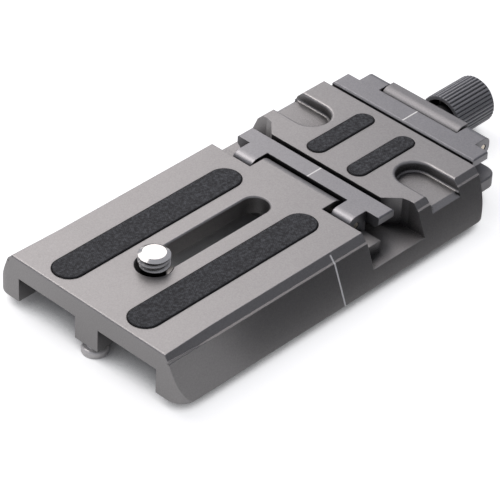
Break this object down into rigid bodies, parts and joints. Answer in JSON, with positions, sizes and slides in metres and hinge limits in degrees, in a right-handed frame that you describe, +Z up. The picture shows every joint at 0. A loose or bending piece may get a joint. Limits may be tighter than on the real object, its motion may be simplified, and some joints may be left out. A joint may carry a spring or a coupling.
{
  "type": "tripod quick release plate",
  "caption": "Flat dovetail quick release plate with a slotted camera screw, rubber grip strips and fold-up jaws closed by a fluted knob.",
  "frame": {"origin": "middle of the plain front end, on the plane of the dovetail's feet", "axes": "+X along the plate from the plain front end to the knob, +Z up out of the deck, +Y across to the left"},
  "size_m": [0.1118, 0.05, 0.0159],
  "materials": {
    "grey_anodised": "bead-blasted warm grey anodised",
    "jaw_anodised": "fine matt cool grey anodised",
    "knob_anodised": "satin charcoal anodised",
    "pad_rubber": "matt black, fine woven texture",
    "screw_steel": "turned and lightly brushed",
    "stop_steel": "bright, knurled rim",
    "pin_brass": "bright pin ends"
  },
  "bodies": {
    "base": {"base_body": "grey_anodised", "long_pad_left": "pad_rubber", "long_pad_right": "pad_rubber", "short_pad_left": "pad_rubber", "short_pad_right": "pad_rubber", "stop_screws": "stop_steel"},
    "near_jaw": {"near_flap": "jaw_anodised", "near_hinge_pin": "pin_brass"},
    "jaw_carriage": {"carriage": "jaw_anodised", "guide_rod_left": "screw_steel", "guide_rod_right": "screw_steel"},
    "far_jaw": {"far_flap": "jaw_anodised", "far_hinge_pin": "pin_brass"},
    "draw_knob": {"knob": "knob_anodised", "draw_screw": "screw_steel", "thrust_washer": "screw_steel", "knob_set_screw": "screw_steel"},
    "screw_slider": {"screw_washer": "screw_steel"},
    "fixing_screw": {"camera_screw": "screw_steel"},
    "screw_bail": {"bail_ring": "screw_steel"}
  },
  "joints": [
    {"name": "near_jaw_fold", "type": "hinge", "parent": "base", "child": "near_jaw", "pos_m": [0.0569, 0, 0.0073], "axis": [0, -1, 0], "range_deg": [0, 90]},
    {"name": "carriage_slide", "type": "slide", "parent": "base", "child": "jaw_carriage", "axis": [1, 0, 0], "range_m": [0, 0.004]},
    {"name": "far_jaw_fold", "type": "hinge", "parent": "jaw_carriage", "child": "far_jaw", "pos_m": [0.0946, 0, 0.0075], "axis": [0, 1, 0], "range_deg": [0, 90]},
    {"name": "knob_turn", "type": "hinge", "parent": "jaw_carriage", "child": "draw_knob", "pos_m": [0.107, 0, 0.0041], "axis": [1, 0, 0], "range_deg": [0, 1800]},
    {"name": "screw_slide", "type": "slide", "parent": "base", "child": "screw_slider", "axis": [1, 0, 0], "range_m": [0, 0.0273]},
    {"name": "screw_turn", "type": "hinge", "parent": "screw_slider", "child": "fixing_screw", "pos_m": [0.0175, 0, 0.0039], "axis": [0, 0, 1], "continuous": true},
    {"name": "bail_fold", "type": "hinge", "parent": "fixing_screw", "child": "screw_bail", "pos_m": [0.0175, 0, 0.0039], "axis": [0, -1, 0], "range_deg": [0, 90]}
  ],
  "couplings": [
    {"joint": "knob_turn", "follows": "carriage_slide", "rad_per_m": 7854}
  ]
}
